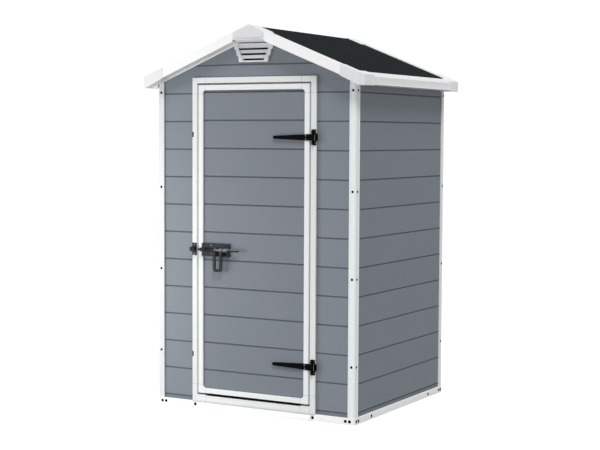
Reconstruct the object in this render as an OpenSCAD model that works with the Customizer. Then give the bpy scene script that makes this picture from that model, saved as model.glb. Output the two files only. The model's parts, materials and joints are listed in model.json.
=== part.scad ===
/* [Walls] */
// Width of the house across its corner posts
wall_w = 1160; // [1000:10:1500]
// Depth of the house across its corner posts
wall_d = 1060; // [800:10:1500]
// Thickness of a wall panel
panel_t = 18; // [14:1:26]
// Height of one plank, groove to groove
plank = 143; // [100:1:180]
// Height of the lowest groove over the ground
first_groove = 54; // [40:1:70]
// Width of a groove at the face
groove_w = 8; // [4:1:12]
// Depth of a groove
groove_d = 3; // [1:0.5:5]

/* [Posts and base] */
// Width of a corner post on each face
post_leg = 36; // [28:1:50]
// Stand-off of the post's face before the panels
post_proud = 5; // [3:0.5:8]
// Radius of the post's outer corner
post_r = 9; // [6:1:12]
// Stand-off of the bead along the edge of each leg
bead = 2; // [1:0.5:3]
// Width of that bead
bead_w = 5; // [4:0.5:8]
// Height of the base rails
base_h = 34; // [26:1:40]
// Depth of a base rail, face to back
rail_w = 32; // [26:1:45]
// Stand-off of the base rail before the posts
rail_proud = 2; // [0:0.5:6]
// Length of a base corner piece along each wall
foot_leg = 62; // [45:1:90]
// Height of the floor's top over the ground
floor_h = 26; // [20:1:32]
// Thickness of the floor's deck and ribs
deck_t = 4; // [3:0.5:8]
// Number of ribs under the deck each way
deck_ribs = 6; // [3:1:8]

/* [Roof] */
// Slope of the roof in degrees
roof_angle = 22; // [14:1:28]
// Height of the ridge's white caps over the ground
peak_h = 1966; // [1900:1:2100]
// Reach of the eaves past the posts
eave_over = 60; // [40:1:90]
// Reach of the gable trims past the posts
gable_over = 55; // [35:1:90]
// Thickness of a roof panel, square to its slope
roof_t = 20; // [14:1:26]
// Wall of the white trims
trim_t = 4; // [3:0.5:6]
// Height of a gable trim's face, upright
fascia_h = 49; // [44:1:60]
// Width of a gable trim's upper flange
gable_flange = 62; // [30:1:80]
// Height of an eave trim's face
eave_h = 46; // [42:1:64]
// Bevel between an eave trim's face and its upper flange
eave_bevel = 7; // [5:1:10]
// Width of an eave trim's upper flange
eave_flange = 44; // [25:1:55]
// Height of the lip along the foot of a trim
lip_h = 9; // [5:1:14]
// Drop of the lip where the gable's soffit meets the wall
wall_lip = 7; // [4:1:12]
// Stand-off of the lip and of the caps
cap_proud = 3; // [2:0.5:5]
// Length of a corner cap along each trim
corner_cap = 122; // [90:1:150]
// Radius of a corner cap in plan
corner_r = 26; // [12:1:32]
// Level stretch of a corner cap's front edge, from the eave inwards
cap_flat = 21; // [10:1:30]
// Half the width of a peak cap
peak_half = 91; // [70:1:110]
// Length of a peak cap's saddle along the ridge
saddle = 100; // [75:1:140]
// Border of the raised field on a peak cap
peak_border = 9; // [5:1:14]
// Rise of the peak cap's underside from the wall to the cap's face
peak_rise = 9; // [5:1:12]
// Open seam between pieces that meet side by side
seam = 1; // [0.5:0.5:2]

/* [Ridge beam] */
// Width of the metal beam under the ridge
beam_w = 26; // [20:1:40]
// Height of the beam's sides
beam_h = 40; // [25:1:60]
// Wall of the beam
beam_t = 2; // [1.5:0.5:4]

/* [Vents] */
// Half the width of a vent at its top
vent_half = 114; // [90:1:130]
// Height of one tier of the vent
vent_tier = 31; // [24:1:32]
// Step in the vent's side from tier to tier
vent_step = 8; // [4:1:12]
// Lean of a tier's side
vent_lean = 4.5; // [2:0.5:10]
// Stand-off of the vent before the panel
vent_proud = 9; // [5:1:14]
// Height of a slot
vent_slot = 7; // [5:1:9]
// Drop from the roof's peak to the vent's top
vent_drop = 91; // [90:1:130]
// Solid border at each end of a slot
vent_border = 29; // [18:1:34]
// Drop from the vent's top to the middle of the first slot
slot_drop = 29; // [26:1:34]
// Distance from slot to slot
slot_pitch = 26; // [22:1:28]
// Depth of the louvre field in the vent's face
field_d = 4; // [2:0.5:6]
// Height of a blade's front edge
blade_edge = 2; // [1:0.5:4]

/* [Doorway] */
// Half the width of the clear doorway
door_half = 334; // [280:1:380]
// Height of the doorway's foot over the ground
door_z0 = 70; // [60:1:90]
// Drop from the roof's peak to the doorway's head
head_drop = 287; // [270:1:340]
// Width of the frame's face
frame_w = 29; // [22:1:40]
// Stand-off of the frame before the panels
frame_proud = 12; // [9:1:16]
// Thickness of the frame's lining in the opening
lining = 8; // [5:1:12]
// Reach of the door stop into the opening
stop_reach = 16; // [12:1:22]
// Thickness of the door stop
stop_t = 8; // [5:1:12]
// Space between the leaf's back and the stop
stop_gap = 5; // [5:1:8]
// Reach of the sill before the base rail
sill_reach = 8; // [5:1:30]
// Height of the ledge along the frame's foot
foot_ledge = 15; // [10:1:24]

/* [Door leaf] */
// Space between leaf and frame at the sides and head
leaf_gap = 9; // [7:1:12]
// Space under the leaf
foot_gap = 10; // [8:1:14]
// Width of the leaf's white rim
rim_w = 27; // [20:1:34]
// Thickness of the rim
rim_t = 30; // [24:1:36]
// Depth of the planked panel behind the rim's face
leaf_recess = 8; // [5:1:12]
// Thickness of the leaf's panel
leaf_panel_t = 16; // [12:1:20]
// Rise of the leaf's grooves over those of the walls
leaf_rise = 6; // [0:1:12]
// Stand-off of the leaf's face before the frame
leaf_proud = 1; // [0.6:0.1:2]
// Radius of the panel's corners in the rim
rim_r = 16; // [6:1:20]

/* [Hinges] */
// Drop from the doorway's head to the upper hinge's middle
hinge_drop = 273; // [220:1:330]
// Rise from the doorway's foot to the lower hinge's middle
hinge_rise = 199; // [160:1:260]
// Space between the doorway's edge and a hinge plate
plate_inset = 4; // [1:0.5:5]
// Width of a hinge plate
plate_w = 27; // [24:1:28]
// Height of a hinge plate
plate_h = 76; // [64:1:90]
// Thickness of plates and straps
plate_t = 4; // [3:0.5:5]
// Radius of the knuckles
knuckle_r = 6; // [5:0.5:6.5]
// Depth to which the knuckles sink into their plate
knuckle_sink = 2; // [1:0.5:3]
// Radius of a hinge pin
pin_r = 2.5; // [2:0.25:3]
// Bore's clearance over the pin
pin_gap = 0.3; // [0.2:0.1:0.5]
// Height of a pin's head
pin_head = 2; // [1.5:0.5:3]
// Radius of a pin's head
pin_head_r = 4.5; // [3.5:0.5:5]
// Height of the strap at its root
strap_h = 34; // [24:1:36]
// Length of the strap from the pin to its tip's centre
strap_len = 224; // [160:1:260]
// Radius of the strap's tip
strap_tip = 7.5; // [5:0.5:9]
// Play between the strap's knuckle and the plate's, up and down
knuckle_gap = 0.6; // [0.4:0.1:1]
// Reach of the lug at the plate's far side
lug = 8; // [4:1:10]

/* [Bolt] */
// Rise from the doorway's foot to the bolt's rod
bolt_rise = 758; // [700:1:850]
// Radius of the rod
rod_r = 6; // [5:0.5:7]
// Length of the rod
rod_len = 242; // [220:1:260]
// Draw-back of the rod's tip from the leaf's edge
rod_back = 8; // [6:1:12]
// Clearance round the rod in its guides
rod_gap = 0.5; // [0.3:0.1:1]
// Length of the backing plate
bolt_len = 166; // [160:1:190]
// Height of the backing plate
bolt_h = 67; // [60:1:80]
// Reach of the backing plate over the rim
bolt_over = 5; // [3:1:10]
// Thickness of the backing plate and of the keeper's
bolt_t = 3; // [2:0.5:4]
// Space between rod and backing plate
rod_off = 7; // [6:0.5:9]
// Width of the guide nearest the frame
guide_a = 32; // [24:1:40]
// Width of the far guide
guide_b = 25; // [18:1:30]
// Wall of a guide over the rod
guide_t = 3.5; // [3:0.5:4.5]
// Width of the hasp
hasp_w = 53; // [46:1:56]
// Drop of the hasp from the rod to its foot
hasp_drop = 112; // [90:1:120]
// Width of the hasp's legs
hasp_leg = 16; // [13:1:18]
// Radius of the hasp's lower corners
hasp_r = 14; // [10:1:22]
// Thickness of the hasp
hasp_t = 6; // [4:0.5:8]
// Space from the near guide to the hasp
hasp_gap = 46; // [38:1:48]
// Height of the keeper
keeper_h = 64; // [50:1:70]
// Width of the keeper
keeper_w = 28; // [18:1:28]
// Half the width of the keeper's mouth
mouth = 8; // [7:0.5:9]

/* [Hidden] */
$fn = 48;
eps = 0.01;

wall_colour = "#8a929c";
white = "#eef0ee";
roof_colour = "#2b2f32";
black = "#17181a";
metal = "#a9adb0";

// Faces and inner faces of the wall panels, from the plan's centre
half_w = wall_w / 2;
half_d = wall_d / 2;
face_x = half_w - post_proud;
face_y = half_d - post_proud;
room_x = face_x - panel_t;
room_y = face_y - panel_t;
rail_x = half_w + rail_proud;
rail_y = half_d + rail_proud;

// Roof: outer line of the white trims, and the levels under it
rise = tan(roof_angle);
slant = 1 / cos(roof_angle);
roof_x = half_w + eave_over;
roof_y = half_d + gable_over;
// All slopes are drawn out to this same width, so that faces that meet are level with each other
far_x = roof_x + corner_r;
panel_top = trim_t * slant;
panel_under = (trim_t + roof_t) * slant;
eave_z = roof_z(roof_x) - eave_h;
trim_end = roof_x - eave_flange - seam;
// The eave trims stop short of the rounded corner
eave_end = roof_y - corner_r - trim_t;

// Doorway in the wall, and the split over it
door_z1 = peak_h - head_drop;
hole_half = door_half + lining;
hole_z = door_z1 + lining;
frame_face = face_y + frame_proud;
leaf_face = frame_face + leaf_proud;
leaf_half = door_half - leaf_gap;
leaf_z0 = door_z0 + foot_gap;
leaf_z1 = door_z1 - leaf_gap;
leaf_panel_face = leaf_face - leaf_recess;
leaf_back = leaf_face - rim_t;
stop_y = leaf_back - stop_gap;
stop_back = stop_y - stop_t;

// Hinge: the pin stands before the middle of the plate
hinge_z0 = door_z0 + hinge_rise;
hinge_z1 = door_z1 - hinge_drop;
plate_x0 = door_half + plate_inset;
hinge_x = plate_x0 + plate_w / 2;
hinge_y = frame_face + plate_t + knuckle_r - knuckle_sink;

// Bolt: places along the leaf's free side
bolt_z = door_z0 + bolt_rise;
bolt_face = leaf_face + bolt_t;
rod_y = bolt_face + rod_off + rod_r;
bolt_x0 = -leaf_half + rim_w - bolt_over;
hasp_x = bolt_x0 + guide_a + hasp_gap;

function roof_z(x) = peak_h - rise * abs(x);

// Section of a planked panel: face at 0, back at t, grooves by rule
function groove_at(k, lift) = first_groove + lift + k * plank;
function grooved(z0, z1, t, lift) = concat(
    [[t, z0], [0, z0]],
    [for (k = [0 : 14]) if (groove_at(k, lift) - groove_w > z0 && groove_at(k, lift) + groove_w < z1)
        each [
            [0, groove_at(k, lift) - groove_w / 2],
            [groove_d, groove_at(k, lift) - groove_w / 6],
            [groove_d, groove_at(k, lift) + groove_w / 6],
            [0, groove_at(k, lift) + groove_w / 2]
        ]],
    [[0, z1], [t, z1]]
);

// Planked slab along X from x0 to x1, its face at y = -face
module front_slab(x0, x1, z0, z1, face, t, lift = 0) {
    translate([x0, -face, 0])
        rotate([90, 0, 90])
            linear_extrude(x1 - x0) polygon(grooved(z0, z1, t, lift));
}

// Everything under a line that lies "drop" below the trims' outer line
module under_roof(drop) {
    rotate([90, 0, 0])
        linear_extrude(4 * roof_y, center = true)
            polygon([
                [-far_x, 0], [far_x, 0],
                [far_x, roof_z(far_x) - drop], [0, peak_h - drop], [-far_x, roof_z(far_x) - drop]
            ]);
}

// Strip that follows one slope, from x0 to x1, between two depths under the outer line
module slope_strip(x0, x1, top, under, y0, y1) {
    translate([0, y1, 0])
        rotate([90, 0, 0])
            linear_extrude(y1 - y0)
                intersection() {
                    polygon([
                        [0, peak_h - top], [far_x, roof_z(far_x) - top],
                        [far_x, roof_z(far_x) - under], [0, peak_h - under]
                    ]);
                    translate([x0, 0]) square([x1 - x0, peak_h]);
                }
}

module box(x0, x1, y0, y1, z0, z1) {
    translate([x0, y0, z0]) cube([x1 - x0, y1 - y0, z1 - z0]);
}

// ---- Base ----

module floor() {
    color(white) {
        x = rail_x - rail_w;
        y = rail_y - rail_w;
        box(-x, x, -y, y, floor_h - deck_t, floor_h);
        for (i = [0 : deck_ribs]) {
            sx = -x + i * (2 * x - deck_t) / deck_ribs;
            sy = -y + i * (2 * y - deck_t) / deck_ribs;
            box(sx, sx + deck_t, -y, y, 0, floor_h - deck_t + eps);
            box(-x, x, sy, sy + deck_t, 0, floor_h - deck_t + eps);
        }
    }
}

module base_end() {
    color(white)
        box(-rail_x + foot_leg, rail_x - foot_leg, -rail_y, -rail_y + rail_w, 0, base_h);
}

module base_side() {
    color(white)
        box(rail_x - rail_w, rail_x, -rail_y + foot_leg, rail_y - foot_leg, 0, base_h);
}

module base_corner() {
    translate([rail_x - post_r, -rail_y + post_r, 0]) cylinder(r = post_r, h = base_h);
    box(rail_x - foot_leg, rail_x - post_r, -rail_y, -rail_y + rail_w, 0, base_h);
    box(rail_x - rail_w, rail_x, -rail_y + post_r, -rail_y + foot_leg, 0, base_h);
}

module base_corners() {
    color(white)
        for (side = [0, 1], end = [0, 1])
            mirror([side, 0, 0]) mirror([0, end, 0]) base_corner();
}

// ---- Posts and walls ----

// Beads along the outer edges of both legs, ending below the corner cap
module post_beads() {
    translate([half_w, -half_d, base_h])
        linear_extrude(eave_z - cap_proud - seam - base_h)
            mirror([1, 0]) {
                translate([post_leg - bead_w, -bead]) square([bead_w, post_proud + bead]);
                translate([-bead, post_leg - bead_w]) square([post_proud + bead, bead_w]);
            }
}

module post() {
    color(white) {
        intersection() {
            translate([half_w, -half_d, base_h])
                linear_extrude(peak_h)
                    mirror([1, 0]) {
                        translate([post_r, post_r]) circle(post_r);
                        translate([post_r, 0]) square([post_leg - post_r, post_proud]);
                        translate([0, post_r]) square([post_proud, post_leg - post_r]);
                        translate([post_proud, post_proud]) square(panel_t);
                    }
            difference() {
                under_roof(fascia_h);
                box(face_x, roof_x, -half_d + post_r, half_d, eave_z, peak_h);
            }
        }
        post_beads();
    }
}

module front_wall_side() {
    color(wall_colour)
        intersection() {
            front_slab(hole_half, room_x, base_h, hole_z, face_y, panel_t);
            under_roof(panel_under);
        }
}

module vent_slots(grow) {
    for (k = [0 : 2]) {
        half = slot_half(k);
        z = slot_z(k);
        box(-half, half, -face_y - grow, -room_y + grow, z - vent_slot / 2, z + vent_slot / 2);
    }
}

module gable(z0) {
    color(wall_colour)
        difference() {
            intersection() {
                front_slab(-room_x, room_x, z0, peak_h, face_y, panel_t);
                under_roof(panel_under);
            }
            vent_slots(1);
        }
}

module side_wall() {
    color(wall_colour)
        intersection() {
            translate([face_x, room_y, 0])
                rotate([90, 0, 0])
                    linear_extrude(2 * room_y)
                        mirror([1, 0]) polygon(grooved(base_h, peak_h, panel_t, 0));
            under_roof(panel_under);
        }
}

module rear_wall() {
    color(wall_colour)
        intersection() {
            rotate([0, 0, 180]) front_slab(-room_x, room_x, base_h, hole_z, face_y, panel_t);
            under_roof(panel_under);
        }
}

// ---- Vents ----

// Tiers and slots are counted from the top
function vent_z(k) = peak_h - vent_drop - (k + 1) * vent_tier;
function slot_z(k) = peak_h - vent_drop - slot_drop - k * slot_pitch;
function slot_half(k) = vent_half - vent_border - k * (vent_step + vent_lean);

module vent_tiers() {
    for (k = [0 : 2]) {
        half = vent_half - k * (vent_step + vent_lean);
        translate([0, -face_y, vent_z(k)])
            rotate([90, 0, 0])
                linear_extrude(vent_proud)
                    polygon([
                        [-half + vent_lean, 0], [half - vent_lean, 0], [half, vent_tier], [-half, vent_tier]
                    ]);
    }
}

// Hollow in the vent's face that narrows towards its foot
module vent_field() {
    top = slot_z(0) + slot_pitch - vent_slot / 2;
    foot = slot_z(2) - vent_slot;
    wide = slot_half(0) + vent_slot;
    narrow = slot_half(2) + vent_slot / 2;
    translate([0, -face_y - vent_proud + field_d, 0])
        rotate([90, 0, 0])
            linear_extrude(2 * field_d)
                polygon([[-narrow, foot], [narrow, foot], [wide, top], [-wide, top]]);
}

// Blades slope outwards, from the hollow's back to the level of the face over each slot
module vent_blades() {
    for (k = [0 : 2])
        translate([-slot_half(k), -face_y - vent_proud + field_d, slot_z(k) + vent_slot / 2])
            rotate([90, 0, 90])
                linear_extrude(2 * slot_half(k))
                    polygon([
                        [eps, 0], [-field_d, 0], [-field_d, blade_edge], [eps, slot_pitch - 2 * vent_slot]
                    ]);
}

module vent() {
    color(white) {
        difference() {
            intersection() {
                vent_tiers();
                under_roof(fascia_h + wall_lip + seam);
            }
            vent_field();
            vent_slots(vent_proud + 1);
        }
        vent_blades();
    }
}

// ---- Door frame ----

module frame_side() {
    color(white) {
        box(door_half, door_half + frame_w, -frame_face, -face_y, base_h, door_z1 + frame_w);
        box(door_half, hole_half, -face_y - eps, -stop_back, base_h, door_z1);
        box(door_half - stop_reach, hole_half, -stop_y, -stop_back, door_z0, door_z1);
    }
}

module frame_head() {
    color(white) {
        box(-door_half, door_half, -frame_face, -face_y, door_z1, door_z1 + frame_w);
        box(-hole_half, hole_half, -face_y - eps, -stop_back, door_z1, hole_z);
        box(-door_half + stop_reach, door_half - stop_reach, -stop_y, -stop_back,
            door_z1 - stop_reach, door_z1 + eps);
    }
}

module frame_foot() {
    color(white) {
        box(-door_half, door_half, -frame_face, -stop_back, base_h, door_z0);
        box(-door_half, door_half, -frame_face - bead, -frame_face + eps, base_h, base_h + foot_ledge);
    }
}

module door_sill() {
    color(white)
        translate([-door_half, -rail_y, 0])
            rotate([90, 0, 90])
                linear_extrude(2 * door_half)
                    polygon([[0, 0], [-sill_reach, 0], [-sill_reach * 0.7, base_h * 0.7], [0, base_h - seam]]);
}

// ---- Roof ----

// The panel's outer corners are cut off, to lie inside the round corner caps
module roof_panel() {
    x = roof_x - eave_bevel - seam;
    y = roof_y - trim_t;
    cut = corner_r - trim_t;
    color(roof_colour)
        intersection() {
            slope_strip(0, x, panel_top, panel_under, -y, y);
            linear_extrude(2 * peak_h)
                polygon([[0, -y], [x - cut, -y], [x, -y + cut], [x, y - cut], [x - cut, y], [0, y]]);
        }
}

module ridge_beam() {
    half = beam_w / 2;
    top = peak_h - panel_under;
    color(metal)
        difference() {
            intersection() {
                box(-half, half, -room_y, room_y, top - beam_h, top);
                under_roof(panel_under);
            }
            box(-half + beam_t, half - beam_t, -room_y - 1, room_y + 1,
                top - beam_h + beam_t, top - rise * half - beam_t);
        }
}

// White trim on one slope of the front gable: upper flange, face, lip and soffit
module gable_trim() {
    color(white) {
        slope_strip(peak_half, trim_end, 0, panel_top, -roof_y, -roof_y + gable_flange);
        slope_strip(peak_half, trim_end, 0, fascia_h, -roof_y, -roof_y + trim_t);
        slope_strip(peak_half, trim_end, fascia_h - trim_t * slant, fascia_h, -roof_y, -face_y);
        slope_strip(peak_half, half_w - post_leg - seam, fascia_h - trim_t * slant, fascia_h + wall_lip,
            -face_y - trim_t, -face_y);
        slope_strip(peak_half, roof_x - corner_cap, fascia_h - lip_h, fascia_h,
            -roof_y - cap_proud / 2, -roof_y + trim_t);
    }
}

// Section in X and Z, drawn out both ways along the eave
module along_eave(reach) {
    rotate([90, 0, 0]) linear_extrude(2 * reach, center = true) children();
}

module eave_trim() {
    x1 = roof_x - eave_bevel;
    z1 = roof_z(roof_x) - eave_bevel;
    color(white) {
        slope_strip(roof_x - eave_flange, x1, 0, panel_top, -eave_end, eave_end);
        along_eave(eave_end)
            polygon([
                [x1 - eps, roof_z(x1)], [roof_x, z1], [roof_x, eave_z], [roof_x - trim_t, eave_z],
                [roof_x - trim_t, z1 - trim_t / 2], [x1 - eps, roof_z(x1) - panel_top]
            ]);
        box(face_x, roof_x, -room_y, room_y, eave_z, eave_z + trim_t);
        box(half_w, roof_x, -half_d, half_d, eave_z, eave_z + trim_t);
        along_eave(roof_y - corner_cap)
            polygon([
                [roof_x - trim_t, eave_z], [roof_x + cap_proud, eave_z],
                [roof_x + cap_proud, eave_z + lip_h / 3], [roof_x, eave_z + lip_h], [roof_x - trim_t, eave_z + lip_h]
            ]);
    }
}

// Outline of one roof corner in plan, grown by "grow", with its round corner
module corner_plan(grow) {
    r = corner_r;
    x = roof_x + grow;
    y = roof_y + grow;
    span = corner_cap + grow;
    translate([x - r, -y + r]) circle(r);
    translate([x - span, -y]) square([span - r, span]);
    translate([x - span, -y + r]) square([span, span - r]);
}

// Room inside one corner cap: the gable arm follows the slope and deepens to the eave's level
module corner_block(grow) {
    x = roof_x + grow;
    z = eave_z - grow;
    x0 = roof_x - corner_cap - grow;
    intersection() {
        translate([0, 0, z]) linear_extrude(peak_h) corner_plan(grow);
        under_roof(-grow * slant);
        union() {
            translate([0, -half_d, 0])
                rotate([90, 0, 0])
                    linear_extrude(2 * gable_over)
                        polygon([
                            [x0, peak_h], [x, peak_h], [x, z],
                            [roof_x - cap_flat, z], [x0, roof_z(x0) - fascia_h - grow]
                        ]);
            box(half_w, x, -half_d - grow, 0, z, peak_h);
        }
    }
}

module corner_cap() {
    difference() {
        corner_block(cap_proud);
        corner_block(0);
        box(0, roof_x - corner_cap, -2 * roof_y, 0, 0, peak_h);
        box(0, 2 * roof_x, -roof_y + corner_cap, 0, 0, peak_h);
        // The upper plate is no wider than the trim under it
        box(0, roof_x - eave_flange, -half_d + eps, 0, eave_z + lip_h, peak_h);
    }
}

module corner_caps() {
    color(white)
        for (side = [0, 1], end = [0, 1])
            mirror([side, 0, 0]) mirror([0, end, 0]) corner_cap();
}

// Peak cap: raised field, face, sloping underside and a saddle over the ridge
module peak_face(inset) {
    bottom = roof_z(peak_half) - fascia_h + peak_rise;
    half = peak_half - inset;
    polygon([
        [-half, bottom + inset], [half, bottom + inset],
        [half, roof_z(half) - inset], [0, peak_h - inset], [-half, roof_z(half) - inset]
    ]);
}

module peak_cap() {
    bottom = roof_z(peak_half) - fascia_h;
    color(white) {
        translate([0, -roof_y + trim_t, 0])
            rotate([90, 0, 0]) linear_extrude(trim_t) peak_face(0);
        translate([0, -roof_y + eps, 0])
            rotate([90, 0, 0]) linear_extrude(cap_proud) peak_face(peak_border);
        for (side = [0, 1])
            mirror([side, 0, 0])
                slope_strip(0, peak_half, 0, panel_top, -roof_y, -roof_y + saddle);
        translate([-peak_half, 0, bottom])
            rotate([90, 0, 90])
                linear_extrude(2 * peak_half)
                    polygon([
                        [-roof_y, peak_rise], [-face_y, 0], [-face_y, trim_t], [-roof_y, peak_rise + trim_t]
                    ]);
    }
}

// ---- Door leaf ----

module leaf_field(grow) {
    half = leaf_half - rim_w + grow;
    z0 = leaf_z0 + rim_w - grow;
    z1 = leaf_z1 - rim_w + grow;
    r = rim_r;
    for (x = [-half + r, half - r], z = [z0 + r, z1 - r]) translate([x, z]) circle(r);
    translate([-half, z0 + r]) square([2 * half, z1 - z0 - 2 * r]);
    translate([-half + r, z0]) square([2 * half - 2 * r, z1 - z0]);
}

module door_rim() {
    color(white)
        translate([0, -leaf_back, 0])
            rotate([90, 0, 0])
                linear_extrude(rim_t)
                    difference() {
                        translate([-leaf_half, leaf_z0]) square([2 * leaf_half, leaf_z1 - leaf_z0]);
                        leaf_field(0);
                    }
}

module door_panel() {
    color(wall_colour)
        intersection() {
            front_slab(-leaf_half, leaf_half, leaf_z0, leaf_z1, leaf_panel_face, leaf_panel_t, leaf_rise);
            rotate([90, 0, 0]) linear_extrude(4 * roof_y, center = true) leaf_field(0);
        }
}

// ---- Hinges ----

module strap_outline() {
    half = strap_h / 2;
    polygon([[0, half], [0, -half], [-strap_len, -strap_tip], [-strap_len, strap_tip]]);
    translate([-strap_len, 0]) circle(strap_tip);
}

// Strap on the leaf: a flat arm over the rim that deepens down to the panel
module strap(z) {
    bar = strap_h / 2;
    edge = leaf_half - rim_w - seam;
    color(black)
        difference() {
            union() {
                translate([hinge_x, -leaf_face, z])
                    rotate([90, 0, 0]) linear_extrude(plate_t) strap_outline();
                intersection() {
                    translate([hinge_x, -leaf_panel_face, z])
                        rotate([90, 0, 0]) linear_extrude(leaf_recess + eps) strap_outline();
                    box(-roof_x, edge, -roof_y, 0, z - strap_h, z + strap_h);
                }
                translate([hinge_x, -hinge_y, z - bar]) cylinder(r = knuckle_r, h = strap_h);
            }
            translate([hinge_x, -hinge_y, z - strap_h])
                cylinder(r = pin_r + pin_gap, h = 2 * strap_h);
        }
}

module hinge_straps() {
    strap(hinge_z0);
    strap(hinge_z1);
}

module hinge_plate(z) {
    bar = strap_h / 2 + knuckle_gap;
    long = plate_h / 2;
    difference() {
        union() {
            box(plate_x0, plate_x0 + plate_w, -frame_face - plate_t, -frame_face, z - long, z + long);
            box(plate_x0, plate_x0 + plate_w + lug, -frame_face - plate_t, -frame_face, z - bar, z + bar);
            for (side = [-1, 1])
                translate([hinge_x, -hinge_y, z + side * (bar + long) / 2])
                    cylinder(r = knuckle_r, h = long - bar, center = true);
        }
        box(plate_x0 - 1, hinge_x + knuckle_r + 1, -hinge_y - knuckle_r - 1, -frame_face + 1, z - bar, z + bar);
        translate([hinge_x, -hinge_y, z - plate_h]) cylinder(r = pin_r, h = 2 * plate_h);
    }
}

module hinge_plates() {
    color(black) {
        hinge_plate(hinge_z0);
        hinge_plate(hinge_z1);
    }
}

module hinge_pins() {
    long = plate_h / 2;
    color(metal)
        for (z = [hinge_z0, hinge_z1])
            translate([hinge_x, -hinge_y, z - long]) {
                cylinder(r = pin_r, h = plate_h + pin_head);
                translate([0, 0, plate_h]) cylinder(r = pin_head_r, h = pin_head);
            }
}

// ---- Bolt ----

module guide(x0, width) {
    r = rod_r + guide_t;
    translate([x0, -rod_y, bolt_z])
        difference() {
            union() {
                rotate([0, 90, 0]) cylinder(r = r, h = width);
                box(0, width, 0, rod_y - bolt_face, -r, r);
            }
            translate([-1, 0, 0]) rotate([0, 90, 0]) cylinder(r = rod_r + rod_gap, h = width + 2);
        }
}

// Backing plate over the rim, with its packing down to the panel
module bolt_plate() {
    half = bolt_h / 2;
    color(black) {
        box(bolt_x0, bolt_x0 + bolt_len, -bolt_face, -leaf_face, bolt_z - half, bolt_z + half);
        box(bolt_x0 + bolt_over + seam, bolt_x0 + bolt_len, -leaf_face - eps, -leaf_panel_face,
            bolt_z - half, bolt_z + half);
    }
}

module bolt_guides() {
    color(black) {
        guide(bolt_x0, guide_a);
        guide(bolt_x0 + bolt_len - guide_b, guide_b);
    }
}

module bolt_rod() {
    color(black)
        translate([-leaf_half + rod_back, -rod_y, bolt_z])
            rotate([0, 90, 0]) cylinder(r = rod_r, h = rod_len);
}

// Outline of a U with round lower corners, whose arms rise to "rise_up"
module hasp_outline(half, rise_up, r) {
    for (x = [r - half, half - r]) translate([x, r - half]) circle(r);
    translate([-half, r - half]) square([2 * half, rise_up + half - r]);
    translate([r - half, -half]) square([2 * (half - r), 2 * half]);
}

// U-shaped hasp that hangs from the rod on two eyes
module bolt_hasp() {
    half = hasp_w / 2;
    foot = hasp_drop - half;
    color(black)
        translate([hasp_x + half, -rod_y, bolt_z])
            difference() {
                union() {
                    for (side = [-1, 1])
                        translate([side * (half - hasp_leg / 2), 0, 0])
                            rotate([0, 90, 0]) cylinder(r = rod_r + guide_t, h = hasp_leg, center = true);
                    translate([0, hasp_t / 2, -foot])
                        rotate([90, 0, 0])
                            linear_extrude(hasp_t)
                                difference() {
                                    hasp_outline(half, foot, hasp_r);
                                    hasp_outline(half - hasp_leg, foot + 1, hasp_r - hasp_leg / 2);
                                }
                }
                rotate([0, 90, 0]) cylinder(r = rod_r + rod_gap, h = 2 * hasp_w, center = true);
            }
}

module bolt_keeper() {
    x0 = -door_half - frame_w / 2 - keeper_w / 2;
    r = mouth + guide_t;
    color(black)
        difference() {
            union() {
                box(x0, x0 + keeper_w, -frame_face - bolt_t, -frame_face,
                    bolt_z - keeper_h / 2, bolt_z + keeper_h / 2);
                translate([x0, -rod_y, bolt_z]) rotate([0, 90, 0]) cylinder(r = r, h = keeper_w);
                box(x0, x0 + keeper_w, -rod_y, -frame_face, bolt_z - r, bolt_z + r);
            }
            translate([x0 - 1, -rod_y, bolt_z]) rotate([0, 90, 0]) cylinder(r = mouth, h = keeper_w + 2);
            box(x0 - 1, x0 + keeper_w + 1, -frame_face, -frame_face + r, bolt_z - r, bolt_z + r);
        }
}

floor();
base_end();  // base_front
mirror([0, 1, 0]) base_end();  // base_rear
mirror([1, 0, 0]) base_side();  // base_left
base_side();  // base_right
base_corners();
mirror([1, 0, 0]) post();  // post_front_left
post();  // post_front_right
mirror([1, 0, 0]) mirror([0, 1, 0]) post();  // post_rear_left
mirror([0, 1, 0]) post();  // post_rear_right
mirror([1, 0, 0]) front_wall_side();  // front_wall_left
front_wall_side();  // front_wall_right
gable(hole_z);  // front_gable
mirror([1, 0, 0]) side_wall();  // left_wall
side_wall();  // right_wall
rear_wall();
mirror([0, 1, 0]) gable(hole_z);  // rear_gable
vent();  // front_vent
mirror([0, 1, 0]) vent();  // rear_vent
mirror([1, 0, 0]) frame_side();  // frame_left
frame_side();  // frame_right
frame_head();
frame_foot();
door_sill();
ridge_beam();
mirror([1, 0, 0]) roof_panel();  // roof_left
roof_panel();  // roof_right
mirror([1, 0, 0]) gable_trim();  // front_trim_left
gable_trim();  // front_trim_right
mirror([1, 0, 0]) mirror([0, 1, 0]) gable_trim();  // rear_trim_left
mirror([0, 1, 0]) gable_trim();  // rear_trim_right
mirror([1, 0, 0]) eave_trim();  // eave_trim_left
eave_trim();  // eave_trim_right
corner_caps();
peak_cap();  // front_peak_cap
mirror([0, 1, 0]) peak_cap();  // rear_peak_cap
door_rim();
door_panel();
hinge_straps();
hinge_plates();
hinge_pins();
bolt_plate();
bolt_guides();
bolt_rod();
bolt_hasp();
bolt_keeper();
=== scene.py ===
# %% [markdown]
# A small plastic garden shed: planked blue-grey walls, white posts and trims, a charcoal gabled roof and one
# door with black strap hinges and a bolt. The building itself comes ready made from its CAD model. This lesson
# gives every surface its finish, rounds the edges as a mould does, adds the small hardware and sets up a
# plain studio around it.

# %% Open the CAD model
import json
import math

import bmesh
import bpy
from mathutils import Matrix, Vector


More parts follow.
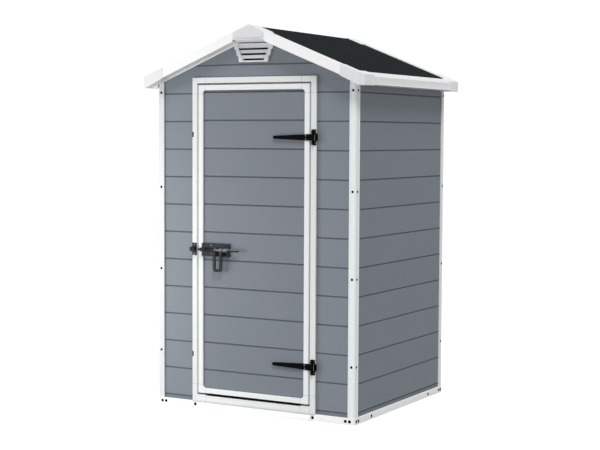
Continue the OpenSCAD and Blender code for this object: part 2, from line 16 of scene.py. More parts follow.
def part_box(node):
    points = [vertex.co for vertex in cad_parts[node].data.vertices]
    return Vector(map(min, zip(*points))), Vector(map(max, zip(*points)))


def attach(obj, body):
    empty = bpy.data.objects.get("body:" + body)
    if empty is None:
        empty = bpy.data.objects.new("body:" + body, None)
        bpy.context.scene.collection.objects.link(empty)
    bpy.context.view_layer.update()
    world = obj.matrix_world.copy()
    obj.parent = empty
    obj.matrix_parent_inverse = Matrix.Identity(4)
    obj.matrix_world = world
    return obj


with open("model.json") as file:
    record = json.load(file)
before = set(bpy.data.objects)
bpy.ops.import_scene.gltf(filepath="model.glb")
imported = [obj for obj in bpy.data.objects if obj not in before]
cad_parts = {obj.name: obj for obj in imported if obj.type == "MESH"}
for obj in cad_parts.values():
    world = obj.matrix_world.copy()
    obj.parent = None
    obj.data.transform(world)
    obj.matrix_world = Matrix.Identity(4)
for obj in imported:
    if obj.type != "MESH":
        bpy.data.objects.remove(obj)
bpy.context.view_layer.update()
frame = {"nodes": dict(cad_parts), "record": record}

nodes = frame["nodes"]
slot_of = {row["node"]: row["material_slot"] for row in frame["record"]["subparts"]}

# %% [markdown]
# The camera stands a little to the right of the door, just below the eaves, with a long lens, as for a
# catalogue. Its place is given by a turn about the upright axis, a small dip and a slight roll, which is
# easier to read than a matrix of nine numbers.

# %% The camera
CAMERA_AT = Vector((3.651, -6.558, 1.416))
CAMERA_TURN = math.radians(29.28)
CAMERA_DIP = math.radians(3.67)
CAMERA_ROLL = math.radians(0.27)
LENS_MM = 83.9
SENSOR_MM = 36

camera_data = bpy.data.cameras.new("camera")
camera_data.lens = LENS_MM
camera_data.sensor_width = SENSOR_MM
camera = bpy.data.objects.new("camera", camera_data)
bpy.context.scene.collection.objects.link(camera)
camera.matrix_world = (
    Matrix.Translation(CAMERA_AT)
    @ Matrix.Rotation(CAMERA_TURN, 4, "Z")
    @ Matrix.Rotation(math.pi / 2 - CAMERA_DIP, 4, "X")
    @ Matrix.Rotation(CAMERA_ROLL, 4, "Z")
)
bpy.context.scene.camera = camera
print("camera stands", round(CAMERA_AT.length, 2), "m away")

# %% [markdown]
# A finish is worked out as arithmetic on patterns: grain times a mask, plus a speckle. Blender does that with
# Math nodes. A small class that stands for a node's output and answers to +, -, * and / lets the sums be
# written as plain Python, and the nodes appear by themselves. Its twin methods with an r keep 1 - mask working.

# %% A little language for shaders
class Signal:
    """The output of one shader node, which can be added, multiplied and compared."""

    def __init__(self, finish, socket):
        self.finish = finish
        self.socket = socket

    def math(self, operation, first, second):
        return self.finish.node("ShaderNodeMath", {"operation": operation}, first, second)

    def __add__(self, other):
        return self.math("ADD", self, other)

    def __radd__(self, other):
        return self.math("ADD", other, self)

    def __sub__(self, other):
        return self.math("SUBTRACT", self, other)

    def __rsub__(self, other):
        return self.math("SUBTRACT", other, self)

    def __mul__(self, other):
        return self.math("MULTIPLY", self, other)

    def __rmul__(self, other):
        return self.math("MULTIPLY", other, self)

    def __truediv__(self, other):
        return self.math("DIVIDE", self, other)

    def __abs__(self):
        return self.finish.node("ShaderNodeMath", {"operation": "ABSOLUTE"}, self)


class Finish:
    """A material round one Principled shader. What is the same all over is set on the shader itself."""

    def __init__(self, name, colour, roughness, **all_over):
        self.material = bpy.data.materials.new(name)
        self.material.use_nodes = True
        self.tree = self.material.node_tree
        self.shader = self.tree.nodes["Principled BSDF"]
        self.colour = (*colour, 1)
        self.feed(self.shader, "Base Color", self.colour)
        self.feed(self.shader, "Roughness", roughness)
        for name, value in all_over.items():
            self.feed(self.shader, name.replace("_", " "), value)

    def feed(self, node, socket, value):
        """Links a signal to a socket, or sets a plain value on it."""
        target = node.inputs[socket]
        if isinstance(value, Signal):
            self.tree.links.new(value.socket, target)
        else:
            target.default_value = value

    def node(self, kind, settings=None, *values, **named):
        """Adds a node: its settings first, then its inputs in order or by name. Returns its first output."""
        made = self.tree.nodes.new(kind)
        for setting, value in (settings or {}).items():
            setattr(made, setting, value)
        for place, value in enumerate(values):
            self.feed(made, place, value)
        for name, value in named.items():
            self.feed(made, name.replace("_", " "), value)
        return Signal(self, next(s for s in made.outputs if s.enabled))


print("shader language ready")

# %% [markdown]
# Moulded plastic is never perfectly even. Four patterns carry nearly all of its look here: soft mottling over
# tens of centimetres, a fine orange peel that breaks up the gloss, streaks pressed into the planks by a mould
# cut like sawn wood, and a band repeated from plank to plank. Each is one short method or function on object
# coordinates, which are metres, so every size in it is a real size.

# %% Patterns in real sizes
def place(finish):
    """Where a point lies on the object, in metres."""
    return Signal(finish, finish.node("ShaderNodeTexCoord").socket.node.outputs["Object"])


def parts(finish, vector):
    """The x, y and z of a vector as three signals."""
    split = finish.node("ShaderNodeSeparateXYZ", None, vector).socket.node
    return [Signal(finish, split.outputs[axis]) for axis in "XYZ"]


def stretched(finish, scale):
    """Coordinates scaled by an amount for each axis: a small number draws a pattern out along that axis."""
    return finish.node("ShaderNodeVectorMath", {"operation": "MULTIPLY"}, place(finish), scale)


def noise(finish, vector, detail=3.0, roughness=0.5, distortion=0.0):
    """Cloudy noise from 0 to 1, one cloud to each unit of the coordinates."""
    return finish.node("ShaderNodeTexNoise", None, Vector=vector, Scale=1.0, Detail=detail,
                       Roughness=roughness, Distortion=distortion)


def ramp(finish, value, low, high, out_low=0.0, out_high=1.0):
    """A smooth step: out_low below low, out_high above high."""
    return finish.node("ShaderNodeMapRange", {"interpolation_type": "SMOOTHSTEP"}, value, low, high,
                       out_low, out_high)


def lesser(first, second):
    return first.math("MINIMUM", first, second)


def larger(first, second):
    return first.math("MAXIMUM", first, second)


def grey(finish, amount):
    """One number as a vector, so that it can multiply a colour."""
    return finish.node("ShaderNodeCombineXYZ", None, amount, amount, amount)


def shaded(finish, colour, amount):
    """A colour made darker or lighter by a factor that varies over the surface."""
    return finish.node("ShaderNodeVectorMath", {"operation": "MULTIPLY"}, colour[:3], grey(finish, amount))


def bump(finish, height, depth):
    """Relief: a height from 0 to 1 that stands for a depth in metres."""
    relief = finish.node("ShaderNodeBump", None, Strength=1.0, Distance=depth, Height=height)
    finish.feed(finish.shader, "Normal", relief)


def peel(finish, size):
    """Orange peel, the fine waviness of moulded plastic and of powder paint."""
    return noise(finish, stretched(finish, (1 / size,) * 3), detail=1.0)


print("patterns ready")

# %% [markdown]
# The walls and the door are blow-moulded panels with a pressed wood grain. The planks differ a touch in tone, and
# the grain runs along each plank. Painted shade darkens the grooves, the panel where it meets a frame or a post,
# and the strip below the lowest groove, just above the base. One function makes both finishes: it is told how far
# the grooves are lifted, and how to work out a point's distance from the nearest trim.

# %% Planked panels
PLANK = 0.143
FIRST_GROOVE = 0.054
DOOR_LIFT = 0.006
WALL_BLUE_GREY = (0.204, 0.233, 0.266)
DOOR_BLUE_GREY = (0.188, 0.210, 0.243)
DARK_GROOVE = 0.0022
CLEAR_OF_GROOVE = 0.0055
# How much painted shade darkens the grooves, the strip below the lowest groove and the panel beside a trim.
GROOVE_SHADE = 0.46
FOOT_STRIP_SHADE = 0.24
TRIM_SHADE = 0.25
GRAIN_DEPTH = 0.0009


def from_wall_trims(x, y, z):
    """How far a point on a wall lies from the doorway's frame and from the posts."""
    frame_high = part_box("frame_right")[1]
    post_low, post_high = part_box("post_front_right")
    behind = ramp(x.finish, y, -0.4, -0.3)
    from_frame = larger(abs(x) - frame_high.x, z - frame_high.z) + behind
    return lesser(from_frame, larger(post_low.x - abs(x), -post_high.y - abs(y)))


def from_rim(x, y, z):
    """How far a point on the door's panel lies from the rim round it."""
    low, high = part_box("door_panel")
    return lesser(high.x - abs(x), lesser(z - low.z, high.z - z))


def planked(name, colour, lift, from_trim):
    finish = Finish(name, colour, 0.5, Specular_IOR_Level=0.42)
    x, y, z = parts(finish, place(finish))
    steps = (z - (FIRST_GROOVE + lift)) / PLANK
    board = finish.node("ShaderNodeMath", {"operation": "FLOOR"}, steps)
    board_tone = finish.node("ShaderNodeTexWhiteNoise", {"noise_dimensions": "1D"}, W=board)
    from_groove = finish.node("ShaderNodeMath", {"operation": "PINGPONG"}, steps, 0.5) * PLANK
    in_groove = ramp(finish, from_groove, DARK_GROOVE, CLEAR_OF_GROOVE, 1.0, 0.0)
    below_lowest_groove = ramp(finish, z, FIRST_GROOVE - 0.001, FIRST_GROOVE + 0.002, 1.0, 0.0)
    at_trim = ramp(finish, from_trim(x, y, z), 0.001, 0.008, 1.0, 0.0)
    grain = noise(finish, stretched(finish, (5, 5, 130)), detail=4.0, roughness=0.6, distortion=0.25)
    figure = noise(finish, stretched(finish, (1.6, 1.6, 22)), detail=2.0, distortion=0.6)
    mottle = noise(finish, stretched(finish, (3, 3, 3)), detail=2.0)
    speckle = peel(finish, 0.0018)
    tone = 0.965 + board_tone * 0.03 + (mottle - 0.5) * 0.05 + (grain - 0.5) * 0.10 + (figure - 0.5) * 0.04
    # Painted shade: the base colour is darkened in the grooves, on the strip below the lowest groove and beside
    # the trims.
    painted_shade = (1 - in_groove * GROOVE_SHADE) * (1 - below_lowest_groove * FOOT_STRIP_SHADE) * (1 - at_trim * TRIM_SHADE)
    finish.feed(finish.shader, "Base Color", shaded(finish, finish.colour, tone * painted_shade))
    finish.feed(finish.shader, "Roughness", 0.46 + grain * 0.12 + in_groove * 0.15 + (speckle - 0.5) * 0.06)
    bump(finish, grain * 0.55 + figure * 0.3 + speckle * 0.15, GRAIN_DEPTH)
    return finish.material


wall_finish = planked("wall_plastic_planked", WALL_BLUE_GREY, 0, from_wall_trims)
door_finish = planked("door_plastic_planked", DOOR_BLUE_GREY, DOOR_LIFT, from_rim)
print("panel finishes:", wall_finish.name, door_finish.name)

# %% [markdown]
# The posts, trims and frames are smooth white plastic with a satin gloss. Each kind has a white of its own, and
# the left front post is the greyest: its white is darkened as painted shade, to hold it back under the soft box
# near that wall. Rain splash leaves the lowest few centimetres a little dull, which a smooth step on the height
# gives. Some pieces carry a darker part too: the faces of the roof's caps are greyer than their sides, the frame
# shows seams where its corner pieces are welded on and a thin black line of painted shade along the gap under the
# door, and the vent's slots are black with shade. Each of these is a small function that gets x, y and z and says
# how dark a point is, from 0 to 1.

# %% White plastics
SPLASH_HEIGHT = 0.09


def satin(name, colour, roughness, darkness=None):
    finish = Finish(name, colour, roughness, Specular_IOR_Level=0.5)
    x, y, z = parts(finish, place(finish))
    mottle = noise(finish, stretched(finish, (6, 6, 2)), detail=3.0)
    splash = ramp(finish, z, 0.0, SPLASH_HEIGHT, 1.0, 0.0) * ramp(finish, mottle, 0.35, 0.7)
    wavy = peel(finish, 0.004)
    tone = 1.0 - splash * 0.05 - ramp(finish, mottle, 0.3, 0.8) * 0.015
    if darkness:
        tone = tone * (1 - darkness(x, y, z))
    finish.feed(finish.shader, "Base Color", shaded(finish, finish.colour, tone))
    finish.feed(finish.shader, "Roughness", roughness + splash * 0.2 + (wavy - 0.5) * 0.08)
    bump(finish, wavy, 0.00012)
    return finish.material


trim_finish = satin("trim_plastic_white", (0.89, 0.895, 0.895), 0.36)
gable_finish = satin("gable_trim_plastic_white", (0.96, 0.965, 0.965), 0.36)
base_finish = satin("base_plastic_white", (0.97, 0.975, 0.97), 0.36)
post_finish = satin("post_plastic_white", (0.875, 0.905, 0.905), 0.34)
# Painted shade: the left front post's white is darker, to hold it back under the soft box near that wall.
left_post_shaded_finish = satin("left_post_white_painted_shade", (0.70, 0.72, 0.74), 0.34)
whites = (trim_finish, gable_finish, base_finish, post_finish, left_post_shaded_finish)
print("white finishes:", [finish.name for finish in whites])

# %% Caps with grey faces
PEAK_END = 0.1
CORNER_START = 0.5
PEAK_GREY = 0.16
CORNER_GREY = 0.10


def on_cap_faces(x, y, z):
    """Greyest at the peak, where the cap's face is broad and flat."""
    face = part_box("corner_caps")[1].y
    greyness = ramp(x.finish, abs(x), PEAK_END, CORNER_START, PEAK_GREY, CORNER_GREY)
    return ramp(x.finish, abs(y), face - 0.010, face - 0.001) * greyness


cap_finish = satin("cap_plastic_grey_faced", (0.90, 0.905, 0.91), 0.4, on_cap_faces)
print("cap finish:", cap_finish.name)

# %% Frames with welded corners
CORNER_PIECE = 0.045
SEAM_GREY = 0.3
# Painted shade along the gap under the door: where its edge lies and how black it is.
GAP_SHADE_EDGE = 0.0022
GAP_SHADE_BLACK = 0.97


def from_corner_pieces(x, z):
    """Above nought on the doorway's four corner pieces, below nought between them."""
    low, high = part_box("door_rim")
    middle = (low.z + high.z) / 2
    return lesser(abs(x) - (high.x - CORNER_PIECE), abs(z - middle) - (high.z - middle - CORNER_PIECE))


def at_corner_seams(x, y, z):
    """A fine line where each corner piece meets the straight ones."""
    return ramp(x.finish, abs(from_corner_pieces(x, z)), 0.0005, 0.002, 1.0, 0.0) * SEAM_GREY


def at_foot_gap_shade(x, y, z):
    """Painted shade: a thin black line along the gap under the door, on the rim's foot and on the frame's."""
    low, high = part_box("door_rim")
    gap_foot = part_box("frame_foot")[1].z
    gap_middle = (gap_foot + low.z) / 2
    from_gap = abs(z - gap_middle) - (low.z - gap_foot) / 2
    between_corners = ramp(x.finish, abs(x) - (high.x - CORNER_PIECE), -0.001, 0.001, 1.0, 0.0)
    return ramp(x.finish, from_gap, GAP_SHADE_EDGE - 0.001, GAP_SHADE_EDGE, 1.0, 0.0) * between_corners * GAP_SHADE_BLACK


def on_frames(x, y, z):
    return larger(at_corner_seams(x, y, z), at_foot_gap_shade(x, y, z))


frame_finish = satin("frame_plastic_white", (0.765, 0.79, 0.782), 0.34, on_frames)
rim_finish = satin("rim_plastic_white", (0.835, 0.855, 0.86), 0.34, on_frames)
print("frame finishes:", frame_finish.name, rim_finish.name)

# %% Vents with black slots
SLOT_DROP = 0.029
SLOT_PITCH = 0.026
SLOT_HALF = 0.085
SLOT_TAPER = 0.0125
LIP_SHADE = 0.001
SHADE_INSIDE = 0.0042
SHADE_OUTSIDE = 0.0050
SLOT_BLACK = 0.98


def in_slots(x, y, z):
    """Three slots, each shorter than the one above, with the shade at the lip over each."""
    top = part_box("front_vent")[1].z - SLOT_DROP + LIP_SHADE
    steps = (top - z) / SLOT_PITCH
    from_slot = x.finish.node("ShaderNodeMath", {"operation": "PINGPONG"}, steps, 0.5) * SLOT_PITCH
    from_slot = from_slot + ramp(x.finish, abs(steps - 1), 1.3, 1.4)
    within_height = ramp(x.finish, from_slot, SHADE_INSIDE, SHADE_OUTSIDE, 1.0, 0.0)
    beside = abs(x) - (SLOT_HALF - steps * SLOT_TAPER)
    return within_height * ramp(x.finish, beside, -0.001, 0.0005, 1.0, 0.0) * SLOT_BLACK


vent_finish = satin("vent_plastic_white", (0.79, 0.80, 0.825), 0.36, in_slots)
print("vent finish:", vent_finish.name)

# %% [markdown]
# The roof panels are charcoal with a sandy moulded grain, so they hardly shine. Fine dust runs down the slope
# in faint streaks.

# %% Roof plastic
def roof_plastic():
    finish = Finish("roof_plastic_charcoal", (0.0110, 0.0145, 0.0165), 0.8, Specular_IOR_Level=0.03)
    sand = peel(finish, 0.0022)
    streaks = noise(finish, stretched(finish, (1.5, 26, 1.5)), detail=3.0)
    clouds = noise(finish, stretched(finish, (3, 3, 3)), detail=2.0)
    dust = ramp(finish, streaks, 0.45, 0.85) * ramp(finish, clouds, 0.3, 0.8)
    finish.feed(finish.shader, "Base Color", shaded(finish, finish.colour, 0.9 + dust * 0.5 + (sand - 0.5) * 0.3))
    finish.feed(finish.shader, "Roughness", 0.72 + dust * 0.15 + (sand - 0.5) * 0.1)
    bump(finish, sand, 0.0006)
    return finish.material


roof_finish = roof_plastic()
print("roof finish:", roof_finish.name)

# %% [markdown]
# Hinges, their pins and most screws are steel with dull black powder paint, slightly pebbled. The bolt's paint is
# a blue-black with more gloss, with a painted highlight in lighter grey on the hasp's eye and along the top of the
# rod. The ridge beam and the small bright screws stay bare zinc-plated steel, with fine lines drawn out from front
# to rear.

# %% Metals
HIGHLIGHT_GREY = (0.17, 0.175, 0.175)


def powder_paint(name, colour, roughness, specular, highlight_at=None):
    finish = Finish(name, colour, roughness, Specular_IOR_Level=specular)
    pebbles = peel(finish, 0.0016)
    worn = ramp(finish, noise(finish, stretched(finish, (40, 40, 40)), detail=3.0), 0.35, 0.8)
    painted = shaded(finish, finish.colour, 0.8 + worn * 0.6)
    if highlight_at:
        # Painted highlight: a lighter grey is mixed into the paint where the mask is high.
        highlight_amount = grey(finish, highlight_at(*parts(finish, place(finish))))
        painted = finish.node("ShaderNodeVectorMath", {"operation": "MULTIPLY_ADD"}, HIGHLIGHT_GREY, highlight_amount, painted)
    finish.feed(finish.shader, "Base Color", painted)
    finish.feed(finish.shader, "Roughness", roughness + (worn - 0.5) * 0.14)
    bump(finish, pebbles, 0.0003)
    return finish.material


def painted_highlight_on_hasp(x, y, z):
    """Where the painted highlight lies: the hasp's eye, the metal beside it as far as the second guide, and then
    only the top of the rod.
    """
    hasp_low, hasp_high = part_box("bolt_hasp")
    plate_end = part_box("bolt_plate")[1].x
    from_left = ramp(x.finish, x, hasp_low.x + 0.006, hasp_low.x + 0.016)
    up_to = ramp(x.finish, x, plate_end - 0.003, plate_end + 0.003) * 0.010
    return from_left * ramp(x.finish, z - up_to, hasp_high.z - 0.020, hasp_high.z - 0.014)


def zinc():
    finish = Finish("zinc_plated_steel", (0.55, 0.56, 0.57), 0.35, Metallic=1.0)
    lines = noise(finish, stretched(finish, (900, 60, 900)), detail=2.0)
    finish.feed(finish.shader, "Base Color", shaded(finish, finish.colour, 0.85 + lines * 0.25))
    finish.feed(finish.shader, "Roughness", 0.28 + lines * 0.16)
    bump(finish, lines, 0.00005)
    return finish.material


paint_finish = powder_paint("dull_black_paint", (0.0016, 0.0016, 0.0018), 0.6, 0.05)
BLUE_BLACK = (0.009, 0.012, 0.018)
bolt_finish = powder_paint("blue_black_paint", BLUE_BLACK, 0.38, 0.25)
highlighted_bolt_finish = powder_paint("blue_black_paint_painted_highlight", BLUE_BLACK, 0.38, 0.25, painted_highlight_on_hasp)
zinc_finish = zinc()
print("metal finishes:", paint_finish.name, bolt_finish.name, highlighted_bolt_finish.name, zinc_finish.name)

# %% [markdown]
# Each CAD node already says which slot of the record its finish belongs to, so the finishes are handed out by
# slot. Some nodes then differ from their slot: the door's planks are lifted, each kind of white piece has its own
# white, the left front post's white is darkened as painted shade, the bolt is blue-black with a painted highlight
# on the hasp and rod, and the hinge pins are painted.

# %% Hand out the finishes
by_slot = {
    "wall_plastic": wall_finish,
    "white_plastic": trim_finish,
    "roof_plastic": roof_finish,
    "black_metal": paint_finish,
    "steel": zinc_finish,
}
by_node = {
    "door_panel": door_finish,
    "door_rim": rim_finish,
    "door_sill": base_finish,
    "corner_caps": cap_finish,
    "front_peak_cap": cap_finish,
    "rear_peak_cap": cap_finish,
    "front_vent": vent_finish,
    "rear_vent": vent_finish,
    "bolt_plate": bolt_finish,
    "bolt_guides": highlighted_bolt_finish,
    "bolt_keeper": bolt_finish,
    "bolt_rod": highlighted_bolt_finish,
    "bolt_hasp": highlighted_bolt_finish,
    "hinge_pins": paint_finish,
}
by_kind = {
    "post_": post_finish,
    "frame_": frame_finish,
    "base_": base_finish,
    "front_trim_": gable_finish,
    "rear_trim_": gable_finish,
}
for name in nodes:
    for kind, finish in by_kind.items():
        if name.startswith(kind):
            by_node[name] = finish
by_node["post_front_left"] = left_post_shaded_finish
for name, node in nodes.items():
    for material_slot in node.material_slots:
        material_slot.material = by_node.get(name, by_slot[slot_of[name]])
print("finished", len(nodes), "nodes")

# %% [markdown]
# A mould leaves no sharp edge, and an edge that catches the light is what makes a shape look real. The CAD
# meshes come with their faces split apart, so Weld joins them first, Bevel then rounds the edges, and
# Weighted Normal keeps the flat faces flat between the roundings. All three are modifiers: the CAD mesh stays
# untouched.

# %% Soft edges
SOFT_EDGE = {
    "wall_plastic": 0.0012,
    "white_plastic": 0.0018,
    "roof_plastic": 0.002,
    "black_metal": 0.0007,
    "steel": 0.0004,
}
SHARP = math.radians(35)


def soften(piece, width):
    weld = piece.modifiers.new("weld", "WELD")
    weld.merge_threshold = 0.00002
    bevel = piece.modifiers.new("bevel", "BEVEL")
    bevel.width = width
    bevel.segments = 2
    bevel.limit_method = "ANGLE"
    bevel.angle_limit = SHARP
    normals = piece.modifiers.new("normals", "WEIGHTED_NORMAL")
    normals.keep_sharp = False


for name, node in nodes.items():
    soften(node, SOFT_EDGE[slot_of[name]])
print("softened the edges of", len(nodes), "nodes")

# %% [markdown]
# One head is a disc turned from four rings round a middle point: the rings make the dome, and a dip at four points
# of the two inner rings makes the cross. A whole row of heads is one mesh, because eighty single objects would be
# slow to handle. Each head is turned so that its axis follows the face it is driven into.

# %% A row of screw heads
FRONT = Vector((0, -1, 0))
RIGHT = Vector((1, 0, 0))
REAR = Vector((0, 1, 0))
LEFT = Vector((-1, 0, 0))
SCREW_RINGS = ((1.0, 0.0), (0.97, 0.35), (0.72, 0.82), (0.42, 1.0))
SCREW_SIDES = 16
CROSS_REACH = 0.8
CROSS_DIP = 0.45
MIDDLE_DIP = 0.3


def screw_head(mesh, at, outwards, radius, rise):
    turn = outwards.to_track_quat("Z", "Y").to_matrix()
    rings = []
    for reach, height in SCREW_RINGS:
        ring = []
        for step in range(SCREW_SIDES):
            angle = math.tau * step / SCREW_SIDES
            in_cross = reach < CROSS_REACH and step % 4 == 0
            lift = rise * height * (CROSS_DIP if in_cross else 1)
            flat = Vector((math.cos(angle) * radius * reach, math.sin(angle) * radius * reach, lift))
            ring.append(mesh.verts.new(at + turn @ flat))
        rings.append(ring)
    for outer, inner in zip(rings, rings[1:]):
        for step in range(SCREW_SIDES):
            after = (step + 1) % SCREW_SIDES
            mesh.faces.new((outer[step], outer[after], inner[after], inner[step]))
    middle = mesh.verts.new(at + turn @ Vector((0, 0, rise * MIDDLE_DIP)))
    for step in range(SCREW_SIDES):
        mesh.faces.new((rings[-1][step], rings[-1][(step + 1) % SCREW_SIDES], middle))
    mesh.faces.new(list(reversed(rings[0])))


def made(name, mesh, finish, body, slot):
    """Makes a piece from a bmesh and rides it on a body. The slot is not used."""
    data = bpy.data.meshes.new(name)
    mesh.to_mesh(data)
    mesh.free()
    data.materials.append(finish)
    data.shade_smooth()
    piece = bpy.data.objects.new(name, data)
    bpy.context.scene.collection.objects.link(piece)
    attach(piece, body)


def screw_row(name, spots, radius, rise, body="shed", finish=paint_finish, slot="black_metal"):
    mesh = bmesh.new()
    for at, outwards in spots:
        screw_head(mesh, Vector(at), outwards, radius, rise)
    bmesh.ops.recalc_face_normals(mesh, faces=mesh.faces)
    made(name, mesh, finish, body, slot)
    print(name, len(spots), "screws")


# %% [markdown]
# The posts are screwed to the wall panels at four heights, on both legs of each post. Each height follows from
# the planks, since the screws go into the same moulded bosses on every panel. Mirroring the places in two
# loops gives all four corners from one.

# %% Screws in the posts
post_low, post_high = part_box("post_front_right")
BEAD = 0.002
POST_FRONT = -post_low.y - BEAD
POST_SIDE = post_high.x - BEAD
FROM_CORNER = 0.018
POST_BOSSES = [FIRST_GROOVE + PLANK * planks for planks in (1.62, 4.63, 7.62, 11.05)]
mirrors = [(side, end) for side in (-1, 1) for end in (-1, 1)]


def facing_side(side):
    return RIGHT if side > 0 else LEFT


def facing_end(end):
    return REAR if end > 0 else FRONT


spots = []
for side, end in mirrors:
    for height in POST_BOSSES:
        spots.append(((side * (POST_SIDE - FROM_CORNER), end * POST_FRONT, height), facing_end(end)))
        spots.append(((side * POST_SIDE, end * (POST_FRONT - FROM_CORNER), height), facing_side(side)))
screw_row("post_screws", spots, radius=0.0064, rise=0.0022)

# %% [markdown]
# The base has pairs of screws beside each corner, single ones along the side rails and one under each jamb of the
# doorway, with the same two at the rear. One more under each end of the gable soffits holds the trims to the
# posts, and it shows from below.

# %% Screws in the base and under the gables
corners_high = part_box("base_corners")[1]
RAIL_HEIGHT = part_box("base_front")[1].z / 2
JAMB_INWARDS = 0.0145
UNDER_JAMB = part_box("frame_right")[1].x - JAMB_INWARDS
SINGLE_INWARDS = 0.187
PAIR = (0.027, 0.050)
SIDE_SHIFT = 0.006


def on_base(x, y, outwards):
    return (x, y, RAIL_HEIGHT), outwards


spots = []
for side, end in mirrors:
    outer_x, outer_y = side * corners_high.x, end * corners_high.y
    for inwards in PAIR:
        spots.append(on_base(side * (corners_high.x - inwards), outer_y, facing_end(end)))
        spots.append(on_base(outer_x, end * (corners_high.y - inwards + SIDE_SHIFT), facing_side(side)))
    spots.append(on_base(outer_x, end * (corners_high.y - SINGLE_INWARDS), facing_side(side)))
    spots.append(on_base(side * UNDER_JAMB, outer_y, facing_end(end)))
screw_row("base_screws", spots, radius=0.0078, rise=0.0024)

ROOF_SLOPE = math.radians(22)
SOFFIT_BELOW_PEAK = 0.049
SOFFIT_AT = POST_SIDE - 0.025
BEYOND_POST = 0.012
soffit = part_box("front_peak_cap")[1].z - SOFFIT_BELOW_PEAK - math.tan(ROOF_SLOPE) * SOFFIT_AT
spots = []
for side, end in mirrors:
    downwards = Vector((-side * math.sin(ROOF_SLOPE), 0, -math.cos(ROOF_SLOPE)))
    spots.append(((side * SOFFIT_AT, end * (POST_FRONT + BEYOND_POST), soffit), downwards))
screw_row("soffit_screws", spots, radius=0.0050, rise=0.0018)

# %% [markdown]
# The straps are held by screws on the door: a pair at the root, one above the other, over the thick rim, and two
# more towards the tip. Every hinge plate has one screw in each lobe. The pair at the root, the plates' screws, the
# keeper's and the middle pair of the bolt's are small and bare, and show as bright dots on the black. The rest
# are painted over.

# %% Screws in the hinges
plates_low, plates_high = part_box("hinge_plates")
STEEL = 0.004
HALF_PLATE = 0.038
ROOT_FROM_PLATE = 0.031
ALONG_STRAP = (0.102, 0.186)
ROOT_LIFT = 0.0075
LOBE_LIFT = 0.0275
LOBE_INWARDS = 0.012
strap_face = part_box("door_rim")[0].y - STEEL
plate_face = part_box("frame_right")[0].y - STEEL
hinge_heights = (plates_low.z + HALF_PLATE, plates_high.z - HALF_PLATE)
at_roots, along_straps, on_plates = [], [], []
for height in hinge_heights:
    for way in (-1, 1):
        at_roots.append(((plates_low.x - ROOT_FROM_PLATE, strap_face, height + way * ROOT_LIFT), FRONT))
        on_plates.append(((plates_high.x - LOBE_INWARDS, plate_face, height + way * LOBE_LIFT), FRONT))
    for from_plate in ALONG_STRAP:
        along_straps.append(((plates_low.x - from_plate, strap_face, height), FRONT))
BARE = {"finish": zinc_finish, "slot": "steel"}
screw_row("strap_screws", along_straps, radius=0.0038, rise=0.0018, body="door")
screw_row("strap_root_screws", at_roots, radius=0.0026, rise=0.0016, body="door", **BARE)
screw_row("hinge_plate_screws", on_plates, radius=0.0024, rise=0.0014, **BARE)

# %% Screws in the bolt
bolt_low, bolt_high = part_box("bolt_plate")
keeper_low, keeper_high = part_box("bolt_keeper")
FROM_PLATE_EDGE = 0.011
FROM_PLATE_END = 0.014
TO_MIDDLE_PAIR = 0.058
FROM_KEEPER_END = 0.009
KEEPER_STEEL = 0.003
bolt_rows = (bolt_low.z + FROM_PLATE_EDGE, bolt_high.z - FROM_PLATE_EDGE)
bolt_ends = (bolt_low.x + FROM_PLATE_END, bolt_high.x - FROM_PLATE_END)
at_bolt_ends = [((x, bolt_low.y, z), FRONT) for x in bolt_ends for z in bolt_rows]
mid_bolt = [((bolt_low.x + TO_MIDDLE_PAIR, bolt_low.y, z), FRONT) for z in bolt_rows]
keeper_face = plate_face + STEEL - KEEPER_STEEL
keeper_x = (keeper_low.x + keeper_high.x) / 2
keeper_rows = (keeper_low.z + FROM_KEEPER_END, keeper_high.z - FROM_KEEPER_END)
on_keeper = [((keeper_x, keeper_face, z), FRONT) for z in keeper_rows]
screw_row("bolt_end_screws", at_bolt_ends, radius=0.0036, rise=0.0016, body="door", finish=bolt_finish)
screw_row("bolt_middle_screws", mid_bolt, radius=0.0026, rise=0.0016, body="door", **BARE)
screw_row("keeper_screws", on_keeper, radius=0.0026, rise=0.0016, **BARE)

# %% [markdown]
# An unused hinge slot is drawn as a thin black stadium along the jamb's edge, a sheet of painted shade over the
# slot: two half rounds and straight sides make its outline, which is then given a little thickness.

# %% Unused hinge slots
ARC_STEPS = 8
FRONT_SHRINK = 0.8
MARK_INWARDS = 0.0045
MARK_LIFT = 0.012
MARK_HALF_WIDTH = 0.0036
MARK_HALF_HEIGHT = 0.0145
MARK_RISE = 0.0004


def stadium(mesh, at, half_width, half_height, rise):
    rim_points = []
    for end in (1, -1):
        for step in range(ARC_STEPS + 1):
            angle = math.pi * step / ARC_STEPS + (0 if end > 0 else math.pi)
            x = half_width * math.cos(angle)
            z = half_width * math.sin(angle) + end * (half_height - half_width)
            rim_points.append(Vector((x, 0, z)))
    front = [mesh.verts.new(at + point * FRONT_SHRINK - Vector((0, rise, 0))) for point in rim_points]
    foot = [mesh.verts.new(at + point) for point in rim_points]
    mesh.faces.new(front)
    for step, here in enumerate(foot):
        after = (step + 1) % len(foot)
        mesh.faces.new((here, foot[after], front[after], front[step]))


slots = bmesh.new()
jamb_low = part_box("frame_left")[0]
for height in hinge_heights:
    slot_at = Vector((jamb_low.x + MARK_INWARDS, jamb_low.y, height + MARK_LIFT))
    stadium(slots, slot_at, MARK_HALF_WIDTH, MARK_HALF_HEIGHT, MARK_RISE)
bmesh.ops.recalc_face_normals(slots, faces=slots.faces)
# Painted shade: the black stadiums stand for the shade inside the slots.
made("unused_hinge_slots", slots, paint_finish, "shed", "black_metal")
print("closed slots at", [round(height, 3) for height in hinge_heights])

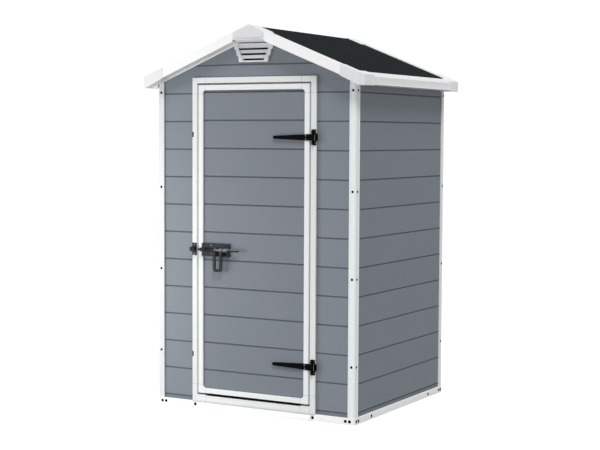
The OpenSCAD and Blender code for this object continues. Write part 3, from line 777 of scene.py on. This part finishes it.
# %% [markdown]
# The studio is a plain white room. If its walls and floor lit the shed as brightly as they look, every shadow
# would fill up and the undersides of the roof would come out as bright as their tops. So the room that is seen
# glows white and lights nothing, and a duller floor just below it bounces some light and is never seen. Ray
# visibility, a setting of each object, does this without any shader trick.

# %% A white room and its floor
def studio_piece(name, corners, faces, colour, glow):
    mesh = bpy.data.meshes.new(name)
    mesh.from_pydata(corners, [], faces)
    piece = bpy.data.objects.new(name, mesh)
    bpy.context.scene.collection.objects.link(piece)
    finish = Finish(name, colour, 0.9, Emission_Color=(1, 1, 1, 1), Emission_Strength=glow)
    mesh.materials.append(finish.material)
    return piece


ROOM = 40
BELOW_GROUND = 0.004
around = [(-ROOM, -ROOM), (ROOM, -ROOM), (ROOM, ROOM), (-ROOM, ROOM)]
room_corners = [(x, y, z) for z in (0, ROOM) for x, y in around]
room_walls = [(0, 1, 5, 4), (1, 2, 6, 5), (2, 3, 7, 6), (3, 0, 4, 7), (4, 5, 6, 7)]
one_face = [(0, 1, 2, 3)]
seen_room = studio_piece("seen_room", room_corners, room_walls, colour=(0, 0, 0), glow=1.0)
seen_floor = studio_piece("seen_floor", room_corners[:4], one_face, colour=(0.2, 0.2, 0.2), glow=0.9)
for piece in (seen_room, seen_floor):
    piece.visible_diffuse = False
    piece.visible_glossy = False
    piece.visible_transmission = False
    piece.visible_shadow = False
bounce_corners = [(x, y, -BELOW_GROUND) for x, y in around]
bounce_floor = studio_piece("bounce_floor", bounce_corners, one_face, colour=(0.42, 0.42, 0.42), glow=0)
bounce_floor.visible_camera = False
print("room laid out")

# %% [markdown]
# Three lights shape the shed. The sky is a dim, even fill. A large far light, high in front and a little to the
# right, puts the top of each wall into the shade of the roof's edge. It is a sun, because a sun lights the foot
# of a wall as strongly as its head, and its wide angle keeps the shadows soft. A soft box near the left-hand
# wall then makes the front brighter towards the left.

# %% Lights
def soft_box(name, at, towards, size, watts):
    data = bpy.data.lights.new(name, "AREA")
    data.shape = "RECTANGLE"
    data.size = size[0]
    data.size_y = size[1]
    data.energy = watts
    light = bpy.data.objects.new(name, data)
    light.location = at
    light.rotation_euler = (Vector(towards) - Vector(at)).to_track_quat("-Z", "Y").to_euler()
    bpy.context.scene.collection.objects.link(light)


def far_light(name, direction, strength, angle):
    data = bpy.data.lights.new(name, "SUN")
    data.energy = strength
    data.angle = math.radians(angle)
    light = bpy.data.objects.new(name, data)
    light.rotation_euler = Vector(direction).to_track_quat("Z", "Y").to_euler()
    bpy.context.scene.collection.objects.link(light)


far_light("overhead_light", direction=(0.31, -0.39, 0.71), strength=1.95, angle=20)
soft_box("left_light", at=(-2.2, -2.0, 0.7), towards=(-0.1, -0.5, 0.6), size=(1.2, 1.2), watts=34)

world = bpy.data.worlds.new("white_sky")
world.use_nodes = True
sky = world.node_tree.nodes["Background"]
sky.inputs["Color"].default_value = (1, 1, 1, 1)
sky.inputs["Strength"].default_value = 0.5
bpy.context.scene.world = world
bpy.context.scene.view_settings.view_transform = "Standard"
print("studio lit")
